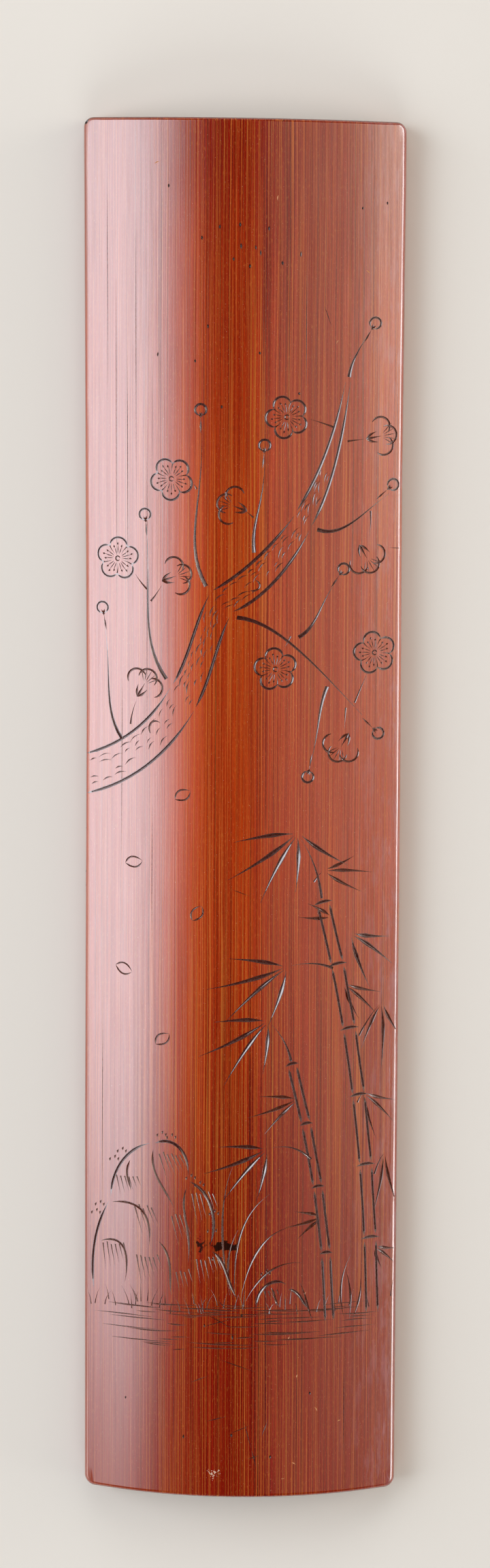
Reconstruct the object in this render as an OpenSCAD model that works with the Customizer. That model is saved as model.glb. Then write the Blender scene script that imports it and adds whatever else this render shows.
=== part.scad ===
// Wrist rest: one split of bamboo culm, arched across the grain, standing on two ground long edges.
// A plum bough and bamboo by a rock are cut into the polished face, and dark ink lies in the cuts.
// The origin is at desk level under the middle of the arch. The grain runs along Y, and the head of
// the picture is at +Y. All sizes are in millimetres.

/* [Slip] */
// Length of the slip, along the grain
slip_l = 280; // [220:5:340]
// Width across the two long edges
slip_w = 64.2; // [54:0.2:76]
// Height of the crown above the desk
crown_h = 15; // [13:0.5:20]
// Height of the outer arch where it meets the long edges
edge_h = 5.3; // [4:0.1:7]
// Thickness of the culm wall at the crown
wall = 7; // [5:0.5:8]
// Width of each flat foot, ground along a long edge
foot_w = 4.7; // [3:0.1:8]
// Radius of the four corners, seen from above
corner_r = 2; // [1:0.25:5]
// Bevel where the sharp edges were eased
ease = 0.7; // [0.3:0.1:1.2]

/* [Carving] */
// Depth of the bold cuts below the polished face
cut_depth = 0.6; // [0.4:0.05:1]
// Drop of the ink in the cuts below the polished face
ink_drop = 0.2; // [0.1:0.05:0.3]
// Width of the outlines of bough, stalks and rocks
outline_w = 0.65; // [0.4:0.05:0.9]
// Width of a twig where it leaves the bough
twig_w = 0.85; // [0.5:0.05:1.2]
// Width of a leaf at its broadest
leaf_w = 0.95; // [0.5:0.05:1.4]
// Width of the outlines of blossoms and buds
petal_w = 0.5; // [0.3:0.05:0.7]

/* [Plum and bamboo] */
// Radius of an open blossom, over its petals
blossom_r = 4.5; // [3.5:0.1:5]
// Radius of a bud
bud_r = 1.4; // [1:0.1:1.8]
// Width of the taller bamboo stalk
tall_stalk_w = 2.4; // [1.8:0.1:3]
// Width of the shorter bamboo stalk
short_stalk_w = 1.7; // [1.4:0.1:2.2]

/* [Hidden] */
$fn = 96;
// How far a cutting shape runs past what it cuts
margin = 1;

half_w = slip_w / 2;
half_l = slip_l / 2;
arch_rise = crown_h - edge_h;
hollow_rise = crown_h - wall;
hollow_half = half_w - foot_w;
culm_r = arc_radius(half_w, arch_rise);
hollow_r = arc_radius(hollow_half, hollow_rise);
// Slope of the outer arch at the long edge
edge_slope = asin(half_w / culm_r);

// Size of the sketch that the points below are drawn on, which is stretched over the face
sketch_w = 64.2;
sketch_l = 280;
// Steps along the spine of a stroke
spine_steps = 8;
petals = 5;

// Edges of the bough, the under side first, from the long edge to the tip
bough_edges = [
    [[-30.6, 4.6], [-23, 6.8], [-15, 13], [-9.8, 22]],
    [[-9.4, 22.9], [-6.5, 28], [-5.2, 36], [-2.7, 41]],
    [[-1.9, 42.2], [4, 44.5], [9.8, 51.5], [13.2, 58.4]],
    [[13.7, 59.4], [17.4, 66], [19.6, 75], [21.3, 88]],
    [[-30.6, 12.7], [-25, 14.4], [-18.5, 19.6], [-14.6, 26.6]],
    [[-14, 27.5], [-10.8, 32.4], [-9.6, 40], [-6.8, 45.4]],
    [[-6, 46.4], [-0.5, 49.4], [5.6, 55], [10.2, 61.4]],
    [[10.7, 62.4], [14.2, 67.6], [18, 76], [20.3, 88]]
];
// Twigs, from the bough outwards
twigs = [
    [[-15.4, 28.4], [-21, 36], [-18.4, 44], [-19.5, 59]],
    [[-7.4, 47.2], [-12.4, 56], [-7.6, 64], [-8.4, 80]],
    [[-1.2, 41], [7, 40.4], [15, 31], [26, 19]],
    [[14.8, 58.6], [20, 56.6], [24, 62], [29.4, 65.6]],
    [[11.2, 37], [15, 39], [15.4, 44], [19, 48.5]],
    [[-24.6, 16], [-29, 22], [-26.4, 30], [-28.4, 40]],
    [[21, 89], [21.4, 92], [22.6, 94], [25, 98]],
    [[2.2, 54], [1.4, 60], [4.4, 64], [4.2, 73]],
    [[17, 27], [15, 22], [15.6, 18], [13.6, 11]]
];
// Open blossoms: place and turn
blossoms = [[[-25.4, 52.4], 15], [[-14.4, 68.6], 50], [[6.6, 30.6], 25], [[26.6, 33.6], 30], [[8.6, 81], 40]];
// Buds at the ends of the twigs
buds = [
    [-19.8, 61.4], [-8.6, 82.4], [30.2, 67.4], [20.2, 50.6], [27.4, 17.2],
    [-28.6, 42.4], [26.2, 99.8], [4.2, 75.4], [13.2, 8.8]
];
// Bamboo stalks: spine from the ground up, and how many internodes show
tall_stalk = [[27.2, -103], [26.6, -70], [23, -42], [16.5, -17]];
tall_internodes = 6;
short_stalk = [[18.4, -104], [18, -84], [14.6, -66], [10.4, -50]];
short_internodes = 4;
// Bare shoots between the stalks and the leaf sprays
shoots = [
    [[16.2, -16], [15.4, -9], [11.8, -3.6]], [[10.2, -49.2], [9.4, -45], [6.2, -41.6]],
    [[18.6, -30.4], [15, -28.6], [10.2, -29.6]], [[14.4, -69.6], [11, -66], [6.4, -67]]
];
// Leaf sprays: the point that the leaves hang from, then each leaf's direction and length
sprays = [
    [[11.3, -2.6], [[-172, 13], [-146, 17], [-118, 16], [-92, 12], [-34, 12]]],
    [[9.4, -29.8], [[172, 12], [-164, 17], [-138, 17], [-108, 13]]],
    [[22, -23.4], [[-8, 8], [-38, 11], [-70, 12]]],
    [[5.6, -40.8], [[-178, 11], [-152, 16], [-124, 16], [-96, 11]]],
    [[5.6, -67.2], [[178, 10], [-158, 14], [-130, 14], [-102, 11]]]
];
// Outline of the rock, then that of the small stone, from left to right
rock_edges = [
    [[-30.2, -98], [-31, -90], [-29.4, -84], [-27, -79.6]],
    [[-26.6, -78.4], [-26.4, -72], [-22.4, -67.6], [-18.6, -66.8]],
    [[-17.4, -66.6], [-13.6, -64.8], [-10.4, -68], [-10.6, -73]],
    [[-10.2, -74.2], [-5.4, -76.4], [-4.4, -83], [-6.2, -87.4]],
    [[-5.6, -88.6], [-2.6, -90.4], [-2.8, -95], [-0.4, -98.4]],
    [[3.4, -100], [3.4, -95.6], [7.4, -93.6], [9.4, -95.4]],
    [[10, -96.4], [12.4, -97], [12.6, -99], [14, -100.6]]
];

function arc_radius(half_chord, rise) = (half_chord * half_chord + rise * rise) / (2 * rise);
function on_face(p) = [p[0] * slip_w / sketch_w, p[1] * slip_l / sketch_l];
function unit(v) = v / norm(v);
function across(v) = [-v[1], v[0]];
function heading(a) = [cos(a), sin(a)];
function bezier(p, t) = len(p) == 1 ? p[0]
    : bezier([for (i = [0:len(p) - 2]) (1 - t) * p[i] + t * p[i + 1]], t);
// Direction of a spine, from the difference of the two ends of its last de Casteljau step
function bezier_heading(p, t) = len(p) == 2 ? unit(p[1] - p[0])
    : bezier_heading([for (i = [0:len(p) - 2]) (1 - t) * p[i] + t * p[i + 1]], t);

// One stroke of the burin: it widens over the share "rise" of its length, and thins over "fall"
module stroke(spine, w, rise, fall) {
    last = fall > 0 ? spine_steps - 1 : spine_steps;
    first = rise > 0 ? 1 : 0;
    function share(t) = min(1, rise > 0 ? t / rise : 1, fall > 0 ? (1 - t) / fall : 1);
    function side(i, s) = let (t = i / spine_steps)
        bezier(spine, t) + s * w / 2 * share(t) * across(bezier_heading(spine, t));
    polygon(concat(
        rise > 0 ? [spine[0]] : [],
        [for (i = [first:last]) side(i, -1)],
        fall > 0 ? [bezier(spine, 1)] : [],
        [for (i = [last:-1:first]) side(i, 1)]
    ));
}

module outline(spine) stroke([for (p = spine) on_face(p)], outline_w, 0.12, 0.25);

module twig(spine) stroke([for (p = spine) on_face(p)], twig_w, 0, 1);

// A leaf hangs from its spray's point, bowed a little to one side
module leaf(foot, angle, length, bow) {
    stroke(
        [foot + heading(angle), foot + 0.4 * length * heading(angle + bow), foot + length * heading(angle)],
        leaf_w, 0.4, 0.6
    );
}

module spray(foot, leaves) {
    for (i = [0:len(leaves) - 1])
        leaf(on_face(foot), leaves[i][0], leaves[i][1], i % 2 == 0 ? -8 : 8);
}

// Two rails between each pair of joints, and a ridge across each joint
module stalk(sketch, internodes, w) {
    spine = [for (p = sketch) on_face(p)];
    gap = outline_w;
    for (i = [0:internodes - 1]) {
        low = bezier(spine, i / internodes);
        high = bezier(spine, (i + 1) / internodes);
        along = unit(high - low);
        for (s = [-1, 1])
            stroke(
                [low + s * w / 2 * across(along) + gap * along, high + s * w / 2 * across(along) - gap * along],
                outline_w, 0.06, 0.06
            );
        stroke(
            [high - 0.8 * w * across(along), high + gap * along, high + 0.8 * w * across(along)],
            outline_w, 0.3, 0.3
        );
    }
}

// The scalloped outline of a blossom's petals, round a heart
module blossom(centre, turn) {
    petal_r = 0.45 * blossom_r;
    reach = blossom_r - petal_r;
    module lobes(r) {
        for (k = [0:petals - 1])
            translate(reach * heading(turn + k * 360 / petals)) circle(r);
    }
    translate(on_face(centre)) {
        difference() {
            lobes(petal_r);
            lobes(petal_r - petal_w);
            circle(reach);
        }
        circle(petal_w);
    }
}

module bud(centre) {
    translate(on_face(centre)) difference() {
        circle(bud_r);
        circle(bud_r - petal_w);
    }
}

module bough_drawing() {
    for (edge = bough_edges) outline(edge);
    for (t = twigs) twig(t);
}

module blossom_drawing() {
    for (b = blossoms) blossom(b[0], b[1]);
    for (b = buds) bud(b);
}

module bamboo_drawing() {
    stalk(tall_stalk, tall_internodes, tall_stalk_w);
    stalk(short_stalk, short_internodes, short_stalk_w);
    for (s = shoots) twig(s);
    for (s = sprays) spray(s[0], s[1]);
}

module rock_drawing() {
    for (edge = rock_edges) outline(edge);
}

// Turns a profile of radius and length about the grain, at the height of an arch's centre
module turned_along_grain(axis_z) {
    translate([0, 0, axis_z]) rotate([-90, 0, 0]) rotate_extrude() children();
}

// The culm's round outside, with its two end edges eased
module culm() {
    turned_along_grain(crown_h - culm_r)
        polygon([
            [0, -half_l], [culm_r - ease, -half_l], [culm_r, ease - half_l],
            [culm_r, half_l - ease], [culm_r - ease, half_l], [0, half_l]
        ]);
}

// The round under side, opening out at both ends by the same easing
module hollow() {
    mouth = half_l + margin;
    mouth_r = hollow_r + ease + margin;
    turned_along_grain(hollow_rise - hollow_r)
        polygon([
            [0, -mouth], [mouth_r, -mouth], [hollow_r, ease - half_l],
            [hollow_r, half_l - ease], [mouth_r, mouth], [0, mouth]
        ]);
}

// The slip seen from above
module plan() {
    linear_extrude(crown_h + margin)
        offset(r = corner_r) square([slip_w - 2 * corner_r, slip_l - 2 * corner_r], center = true);
}

// Planes that bevel the long edges, above at the foot of the arch and below along the feet
module eased_block() {
    spare = margin / 4;
    out = half_w + spare;
    // Sideways run of the upper bevel for each step up, at equal angles to the arch and the side
    run = cos(edge_slope) / (1 + sin(edge_slope));
    function bevel_x(z) = half_w - run * (z - edge_h + ease);
    top = crown_h + margin;
    right = [
        [half_w - ease, 0], [out, ease + spare], [out, edge_h - ease - spare / run], [bevel_x(top), top]
    ];
    rotate([90, 0, 0])
        linear_extrude(slip_l + 2 * margin, center = true)
            polygon(concat(right, [for (i = [len(right) - 1:-1:0]) [-right[i][0], right[i][1]]]));
}

module slip_blank() {
    difference() {
        intersection() {
            plan();
            eased_block();
            culm();
        }
        hollow();
    }
}

// A round bar that shares the axis of the culm
module bar(r) {
    translate([0, 0, crown_h - culm_r]) rotate([90, 0, 0]) cylinder(h = slip_l, r = r, center = true);
}

// Carries a drawing down onto the arched face, between two depths below it
module sunk(top, bottom) {
    difference() {
        intersection() {
            linear_extrude(crown_h + margin) children();
            bar(culm_r - top);
        }
        bar(culm_r - bottom);
    }
}

module culm_slip() {
    color("sienna") difference() {
        slip_blank();
        sunk(-margin, cut_depth) {
            bough_drawing();
            blossom_drawing();
            bamboo_drawing();
            rock_drawing();
        }
    }
}

module bough_ink() {
    color("black") sunk(ink_drop, cut_depth) bough_drawing();
}

module blossom_ink() {
    color("black") sunk(ink_drop, cut_depth) blossom_drawing();
}

module bamboo_ink() {
    color("black") sunk(ink_drop, cut_depth) bamboo_drawing();
}

module rock_ink() {
    color("black") sunk(ink_drop, cut_depth) rock_drawing();
}

culm_slip();
bough_ink();
blossom_ink();
bamboo_ink();
rock_ink();
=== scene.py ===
# %% [markdown]
# # A carved bamboo wrist rest
# A wrist rest is a split of bamboo culm. It lies over a sheet of paper like a low bridge and carries the
# wrist above wet brushwork. This lesson bends the slip from a block, cuts a picture of plum and bamboo into
# it with a V-shaped burin, lays old ink in the cuts and gives each surface its finish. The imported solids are
# the frame, so every piece takes its place from them.

# %% The frame
import math
import random

import bpy
import numpy as np
from mathutils import Euler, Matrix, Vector, noise


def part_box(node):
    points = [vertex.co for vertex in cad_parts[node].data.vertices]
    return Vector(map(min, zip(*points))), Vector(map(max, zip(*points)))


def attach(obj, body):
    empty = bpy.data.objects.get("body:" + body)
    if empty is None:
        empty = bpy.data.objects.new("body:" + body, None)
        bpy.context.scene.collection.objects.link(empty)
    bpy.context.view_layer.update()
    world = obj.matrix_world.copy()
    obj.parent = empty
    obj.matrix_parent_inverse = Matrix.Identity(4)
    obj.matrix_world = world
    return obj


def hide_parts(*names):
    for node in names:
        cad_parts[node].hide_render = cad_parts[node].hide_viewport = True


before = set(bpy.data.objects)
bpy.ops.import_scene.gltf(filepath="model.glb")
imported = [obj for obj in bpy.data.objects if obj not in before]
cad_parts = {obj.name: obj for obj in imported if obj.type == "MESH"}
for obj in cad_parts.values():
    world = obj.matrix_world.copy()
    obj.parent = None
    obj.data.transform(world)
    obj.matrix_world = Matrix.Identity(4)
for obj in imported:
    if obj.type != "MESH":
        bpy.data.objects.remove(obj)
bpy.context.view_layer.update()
random.seed(7)
print("CAD nodes:", ", ".join(sorted(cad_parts)))

# %% [markdown]
# The long sides of the box of `culm_slip` give the slip's length and width. The other sizes are the few that
# shape its section: two arcs on one culm, one for the polished outside and one for the hollow under it. An
# arc's radius follows from half its chord and its rise.

# %% Sizes of the slip
MM = 0.001
_, slip_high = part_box("culm_slip")
half_w = slip_high.x
half_l = slip_high.y
crown_h = 15 * MM
edge_h = 5.3 * MM
wall = 7 * MM
foot_w = 4.7 * MM
corner_r = 2 * MM
ease = 0.7 * MM


def arc_radius(half_chord, rise):
    return (half_chord**2 + rise**2) / (2 * rise)


culm_r = arc_radius(half_w, crown_h - edge_h)
culm_z = crown_h - culm_r
hollow_half = half_w - foot_w
hollow_r = arc_radius(hollow_half, crown_h - wall)
hollow_z = crown_h - wall - hollow_r
print(f"culm radius {culm_r / MM:.1f} mm, hollow radius {hollow_r / MM:.1f} mm")

# %% [markdown]
# ## The camera
# The photograph looks down on the face from a stand, leaning a little towards the head of the picture. The
# camera is placed in a frame that is turned with the slip: the three angles say how the slip lies under it.
# The focal length is given in pixels of the photograph's long side, which Blender's sensor width stands for.

# %% Camera
CAMERA_HEIGHT = 850 * MM
AIM = Vector((0.48 * MM, 5.72 * MM, CAMERA_HEIGHT))
SLIP_TURN = Euler((math.radians(6.43), math.radians(-0.5), math.radians(-0.33)))
FOCAL_PX = 6093
LONG_SIDE_PX = 2304
SENSOR_MM = 36


def new_object(name, data):
    thing = bpy.data.objects.new(name, data)
    bpy.context.collection.objects.link(thing)
    return thing


camera = new_object("camera", bpy.data.cameras.new("camera"))
camera_turn = SLIP_TURN.to_matrix().transposed()
camera.location = camera_turn @ AIM
camera.rotation_euler = camera_turn.to_euler()
camera.data.sensor_width = SENSOR_MM
camera.data.lens = FOCAL_PX / LONG_SIDE_PX * SENSOR_MM
bpy.context.scene.camera = camera
print(f"lens {camera.data.lens:.1f} mm")

# %% [markdown]
# ## The blank
# The maker saws a slip from the culm, rounds its corners and eases its edges. Rounding is easy while the
# block is flat and hard once it is arched, so the order here is: a flat block, two bevels, fine slices along
# and across the grain, and then the bend. The edges are picked in code, by where their ends lie.

# %% A flat block with rounded corners and eased edges
CORNER_STEPS = 6
EASE_STEPS = 4


def deselect_all():
    bpy.ops.object.select_all(action="DESELECT")


def make_active(piece):
    deselect_all()
    piece.select_set(True)
    bpy.context.view_layer.objects.active = piece


def go_to(mode):
    bpy.ops.object.mode_set(mode=mode)


def select_edges(piece, wanted):
    go_to("EDIT")
    bpy.ops.mesh.select_mode(type="EDGE")
    bpy.ops.mesh.select_all(action="DESELECT")
    go_to("OBJECT")
    points = piece.data.vertices
    for edge in piece.data.edges:
        edge.select = wanted(*(points[i].co for i in edge.vertices))
    go_to("EDIT")


deselect_all()
bpy.ops.mesh.primitive_cube_add(size=1, location=(0, 0, edge_h / 2), scale=(2 * half_w, 2 * half_l, edge_h))
slip = bpy.context.object
slip.name = slip.data.name = "carved_slip"
bpy.ops.object.transform_apply(location=True, rotation=True, scale=True)

select_edges(slip, lambda a, b: abs(a.z - b.z) > edge_h / 2)
bpy.ops.mesh.bevel(offset=corner_r, segments=CORNER_STEPS, affect="EDGES")
select_edges(slip, lambda a, b: abs(a.z - b.z) < edge_h / 2)
bpy.ops.mesh.bevel(offset=ease, segments=EASE_STEPS, affect="EDGES")
go_to("OBJECT")
print("block:", len(slip.data.polygons), "faces")

# %% [markdown]
# A flat face can't bend, so the block is sliced first, finely across the grain, where the face will be round,
# and coarsely along it. Smooth shading fades from the eased edge to the face between two slices, so the last
# slice at each end lies close to the edge and keeps that fade narrow.

# %% Slices, so that the block can bend
SLICE_ACROSS = 0.6 * MM
SLICE_ALONG = 4 * MM
END_SLICE = 0.2 * MM


def slice_block(place, direction):
    bpy.ops.mesh.select_all(action="SELECT")
    bpy.ops.mesh.bisect(plane_co=place, plane_no=direction)


go_to("EDIT")
across = int(half_w / SLICE_ACROSS)
for x in [i * SLICE_ACROSS for i in range(-across, across + 1)] + [-hollow_half, hollow_half]:
    slice_block((x, 0, 0), (1, 0, 0))
along = int(half_l / SLICE_ALONG)
end = half_l - ease - END_SLICE
for y in [i * SLICE_ALONG for i in range(-along + 1, along)] + [-end, end]:
    slice_block((0, y, 0), (0, 1, 0))
go_to("OBJECT")
print("sliced block:", len(slip.data.polygons), "faces")

# %% [markdown]
# A face keeps the number of its material slot through the bend and the cuts, so the slots are dealt out now,
# while the block's faces still point straight up, down or outwards: the skin above and at the sides, the
# inner wall below and the end grain at both ends. Then each point is lifted: what was the bottom of the block
# follows the hollow, what was the top follows the culm, and the rest lies between them in proportion.

# %% Slots and bend
SKIN, INNER_WALL, END_GRAIN, CUT, WORN, BARED = range(6)
ENDWAYS = 0.75
DOWN = -0.5
for face in slip.data.polygons:
    if abs(face.normal.y) > ENDWAYS:
        face.material_index = END_GRAIN
    elif face.normal.z < DOWN:
        face.material_index = INNER_WALL


def vertex_array(mesh):
    flat = np.empty(len(mesh.vertices) * 3)
    mesh.vertices.foreach_get("co", flat)
    return flat.reshape(-1, 3)


def store_vertices(mesh, points):
    mesh.vertices.foreach_set("co", points.ravel())
    mesh.update()


def lift_to_arch(points):
    x = points[:, 0]
    top = culm_z + np.sqrt(culm_r**2 - x**2)
    under = hollow_z + np.sqrt(hollow_r**2 - np.clip(x, -hollow_half, hollow_half) ** 2)
    points[:, 2] = under + points[:, 2] / edge_h * (top - under)


blank_points = vertex_array(slip.data)
lift_to_arch(blank_points)
store_vertices(slip.data, blank_points)
print(f"crown at {blank_points[:, 2].max() / MM:.2f} mm")

# %% [markdown]
# ## The drawing
# The picture is a set of burin strokes in millimetres on the face: x across, y towards the head. One stroke
# is a Bezier curve that swells over the first part of its length and thins over the last. The bold strokes
# are the ones that the frame's solids have too. A stroke is kept as a list of (x, y, width).

# %% Strokes
OUTLINE = (0.12, 0.25)
NAIL = (0, 1)
LEAF = (0.4, 0.6)
HAIR = (0.3, 0.5)
THINNEST_SHARE = 0.08


def heading(angle):
    return Vector((math.cos(math.radians(angle)), math.sin(math.radians(angle))))


def away(place, distance, angle):
    return Vector(place) + distance * heading(angle)


def bezier(control, t):
    points = [Vector(p) for p in control]
    while len(points) > 1:
        points = [a.lerp(b, t) for a, b in zip(points, points[1:])]
    return points[0]


def stroke(control, width, swell=OUTLINE, steps=14):
    rise, fall = swell
    path = []
    for t in (i / steps for i in range(steps + 1)):
        share = min(1, t / rise if rise else 1, (1 - t) / fall if fall else 1)
        path.append((*bezier(control, t), width * max(share, THINNEST_SHARE)))
    return path


def arc_stroke(centre, radius, start, end, width, steps=12):
    path = []
    for i in range(steps + 1):
        share = min(1, 0.3 + 4 * min(i, steps - i) / steps)
        point = away(centre, radius, start + (end - start) * i / steps)
        path.append((*point, width * share))
    return path


print("points in a plain stroke:", len(stroke([(0, 0), (1, 0)], 1)))

# %% [markdown]
# The plum bough comes in over the left edge and climbs to the right. Its two edges are bold outlines, its
# twigs are nail-shaped strokes that thin to a point, and short dabs between the edges stand for bark.

# %% Plum bough
OUTLINE_W = 0.65
TWIG_W = 0.85
KNOT_W = 0.4
BARK_ROWS = 10
BARK_PLACES = (0.2, 0.35, 0.5, 0.65, 0.8)
BARK_WIDTHS = (0.22, 0.28, 0.34)
bough_edges = [
    [(-33, 4.1), (-23, 6.6), (-15, 13), (-9.8, 22)],
    [(-9.4, 22.9), (-6.5, 28), (-5.2, 36), (-2.7, 41)],
    [(-1.9, 42.2), (4, 44.5), (9.8, 51.5), (13.2, 58.4)],
    [(13.7, 59.4), (17.4, 66), (19.6, 75), (21.3, 88)],
    [(-33, 12.2), (-25, 14.4), (-18.5, 19.6), (-14.6, 26.6)],
    [(-14, 27.5), (-10.8, 32.4), (-9.6, 40), (-6.8, 45.4)],
    [(-6, 46.4), (-0.5, 49.4), (5.6, 55), (10.2, 61.4)],
    [(10.7, 62.4), (14.2, 67.6), (18, 76), (20.3, 88)],
]
twigs = [
    [(-15.4, 28.4), (-21, 36), (-18.4, 44), (-19.5, 59)],
    [(-7.4, 47.2), (-12.4, 56), (-7.6, 64), (-8.4, 80)],
    [(-1.2, 41), (7, 40.4), (15, 31), (26, 19)],
    [(14.8, 58.6), (20, 56.6), (24, 62), (29.4, 65.6)],
    [(11.2, 37), (15, 39), (15.4, 44), (19, 48.5)],
    [(-24.6, 16), (-29, 22), (-26.4, 30), (-28.4, 40)],
    [(21, 89), (21.4, 92), (22.6, 94), (25, 98)],
    [(2.2, 54), (1.4, 60), (4.4, 64), (4.2, 73)],
    [(17, 27), (15, 22), (15.6, 18), (13.6, 11)],
]
knots = [
    [(-18.6, 17.2), (-19.6, 19), (-18, 20.6), (-16.6, 19.4)],
    [(1.4, 46.4), (3.4, 46), (4.2, 48), (2.2, 48.6)],
]
bold = {"bough": [], "blossom": [], "bamboo": [], "rock": []}
fine = []


def dab(place, angle, length, width):
    start = away(place, -length / 2, angle)
    return stroke([start, away(place, length / 4, angle + 80), away(start, length, angle)], width, LEAF, 7)


bold["bough"] += [stroke(edge, OUTLINE_W) for edge in bough_edges]
bold["bough"] += [stroke(twig, TWIG_W, NAIL) for twig in twigs]
fine += [stroke(knot, KNOT_W) for knot in knots]
for lower, upper in zip(bough_edges[:4], bough_edges[4:]):
    for t in (i / BARK_ROWS for i in range(BARK_ROWS)):
        low, high = bezier(lower, t), bezier(upper, t)
        along = bezier(lower, t + 0.05) - low
        angle = math.degrees(math.atan2(along.y, along.x))
        dabs = 3 if (high - low).length > 3 else 0
        for share in random.sample(BARK_PLACES, dabs):
            fine.append(dab(low.lerp(high, share), angle + random.uniform(-15, 15), random.uniform(1.4, 3),
                            random.choice(BARK_WIDTHS)))
print("bough strokes:", len(bold["bough"]))

# %% [markdown]
# Plum flowers before it has leaves, so the blossoms sit on bare twigs: open ones, ones seen from the side and
# buds, each with its place and the way it is turned. Stems join them to the twigs, and a few petals drift
# down over the empty middle.

# %% Places of the blossoms
open_blossoms = [
    ((-25.4, 52.4), 15), ((-14.4, 68.6), 50), ((6.6, 30.6), 25), ((26.6, 33.6), 30), ((8.6, 81), 40),
]
side_blossoms = [
    ((-14.4, 48.8), 20), ((24.4, 53.6), -60), ((-1.2, 63), 160), ((20.4, 15.6), -120), ((-20.4, 26.4), 60),
    ((26.6, 77), 10),
]
buds = [
    ((-19.8, 61.4), 95), ((-8.6, 82.4), 90), ((30.2, 67.4), 40), ((20.2, 50.6), 55), ((27.4, 17.2), -45),
    ((-28.6, 42.4), 100), ((26.2, 99.8), 60), ((4.2, 75.4), 85), ((13.2, 8.8), -100),
]
stems = [
    [(-19.4, 46.4), (-21, 48), (-21.8, 49.4)], [(-9.4, 66.6), (-9.6, 67.2), (-10, 67.6)],
    [(-18.6, 44), (-17.4, 45.4), (-16.4, 47.2)], [(9.6, 37.2), (9, 36), (8.4, 35)],
    [(22.6, 23.6), (24, 27), (25.2, 29.6)], [(25.6, 62.2), (25.8, 60), (25.4, 57)],
    [(18, 79), (15.4, 80), (13.2, 80.6)], [(2, 61), (1.4, 61.6), (0.6, 62.2)],
    [(20.8, 76.2), (22.6, 76.4), (24.2, 76.6)], [(-22.8, 19), (-22.6, 21.4), (-21.6, 23.8)],
    [(20.8, 22.6), (20.6, 20.6), (20.6, 18.4)],
]
petals_adrift = [(-12, 5, 30), (-22, -9, 10), (-9, -19, 60), (-24, -31, -20), (-16, -45, 40)]
print("blossoms and buds:", len(open_blossoms) + len(side_blossoms) + len(buds))

# %% [markdown]
# An open blossom is five petal arcs round a heart, each arc running from the notch before it to the notch
# after it. Fine lines part the petals, and stamens end in small dots.

# %% Open blossoms
PETALS = 5
PETAL_W = 0.5
BLOSSOM_R = 4.5
PETAL_R = 0.45 * BLOSSOM_R


def open_blossom(centre, turn):
    reach = BLOSSOM_R - PETAL_R
    line_r = PETAL_R - PETAL_W / 2
    half_step = 180 / PETALS
    drop = reach * math.sin(math.radians(half_step))
    notch = reach * math.cos(math.radians(half_step)) + math.sqrt(line_r**2 - drop**2)
    seen = notch * heading(half_step) - Vector((reach, 0))
    half_arc = math.degrees(math.atan2(seen.y, seen.x))
    outline, filling = [], [arc_stroke(centre, 0.45, 0, 330, 0.3)]
    for k in range(PETALS):
        angle = turn + 2 * half_step * k
        petal = away(centre, reach, angle)
        outline.append(arc_stroke(petal, line_r, angle - half_arc, angle + half_arc, PETAL_W))
        part = angle + half_step
        parting = [away(centre, notch, part), away(centre, 2.2, part + 5), away(centre, 1.1, part)]
        filling.append(stroke(parting, 0.3, NAIL, 6))
        for side, length in ((-16, 2.6), (2, 3), (19, 2.5)):
            tip = away(centre, length, angle + side)
            filling.append(stroke([away(centre, 0.9, angle + side), tip], 0.2, HAIR, 4))
            filling.append(dab(tip, angle + side, 0.6, 0.42))
    return outline, filling


for place, turn in open_blossoms:
    outline, filling = open_blossom(place, turn)
    bold["blossom"] += outline
    fine += filling
print("petal arcs:", len(bold["blossom"]))

# %% [markdown]
# A bud is one closed ring with a calyx under it. A blossom seen from the side shows three petals over its
# calyx, and a tuft of stamens.

# %% Buds, side blossoms and petals
BUD_R = 1.4
STEM_W = 0.42
ADRIFT_W = 0.36


def side_blossom(centre, turn):
    lines = []
    for lean, start, end in ((-58, -85, 105), (0, -105, 105), (58, -105, 85)):
        way = turn + lean
        lines.append(arc_stroke(away(centre, 2.3, way), 1.9, way + start, way + end, 0.45))
    for lean in (-75, 0, 75):
        bend = away(centre, 1.4, turn + 180 - lean / 2)
        lines.append(stroke([away(centre, -2.1, turn), bend, away(centre, 1.1, turn + lean)], 0.6, LEAF, 6))
    for lean in (-32, -16, 0, 16, 32):
        stamen = [away(centre, 1.5, turn + lean * 0.6), away(centre, 4.3, turn + lean)]
        lines.append(stroke(stamen, 0.2, HAIR, 4))
    return lines


for place, turn in buds:
    bold["blossom"].append(arc_stroke(place, BUD_R - PETAL_W / 2, turn - 172, turn + 172, PETAL_W))
    foot = away(place, 1.6, turn + 180)
    fine.append(stroke([away(foot, 3, turn + 180), foot], 0.4, LEAF, 5))
    for lean in (-40, 0, 40):
        fine.append(stroke([foot, away(place, 0.5, turn + 180 + lean)], 0.5, LEAF, 5))
for place, turn in side_blossoms:
    fine += side_blossom(place, turn)
fine += [stroke(stem, STEM_W, NAIL, 6) for stem in stems]
for *place, angle in petals_adrift:
    for bow in (100, -80):
        rim = [away(place, 1.8, angle + 180), away(place, 2.2, angle + bow), away(place, 1.8, angle)]
        fine.append(stroke(rim, ADRIFT_W))
print("blossom strokes:", len(bold["blossom"]))

# %% [markdown]
# Two bamboo stalks stand at the right, each given by its spine, the number of its joints and its width. The
# leaves hang in sprays from bare shoots: where a spray hangs, and the angle and length of each leaf.

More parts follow.
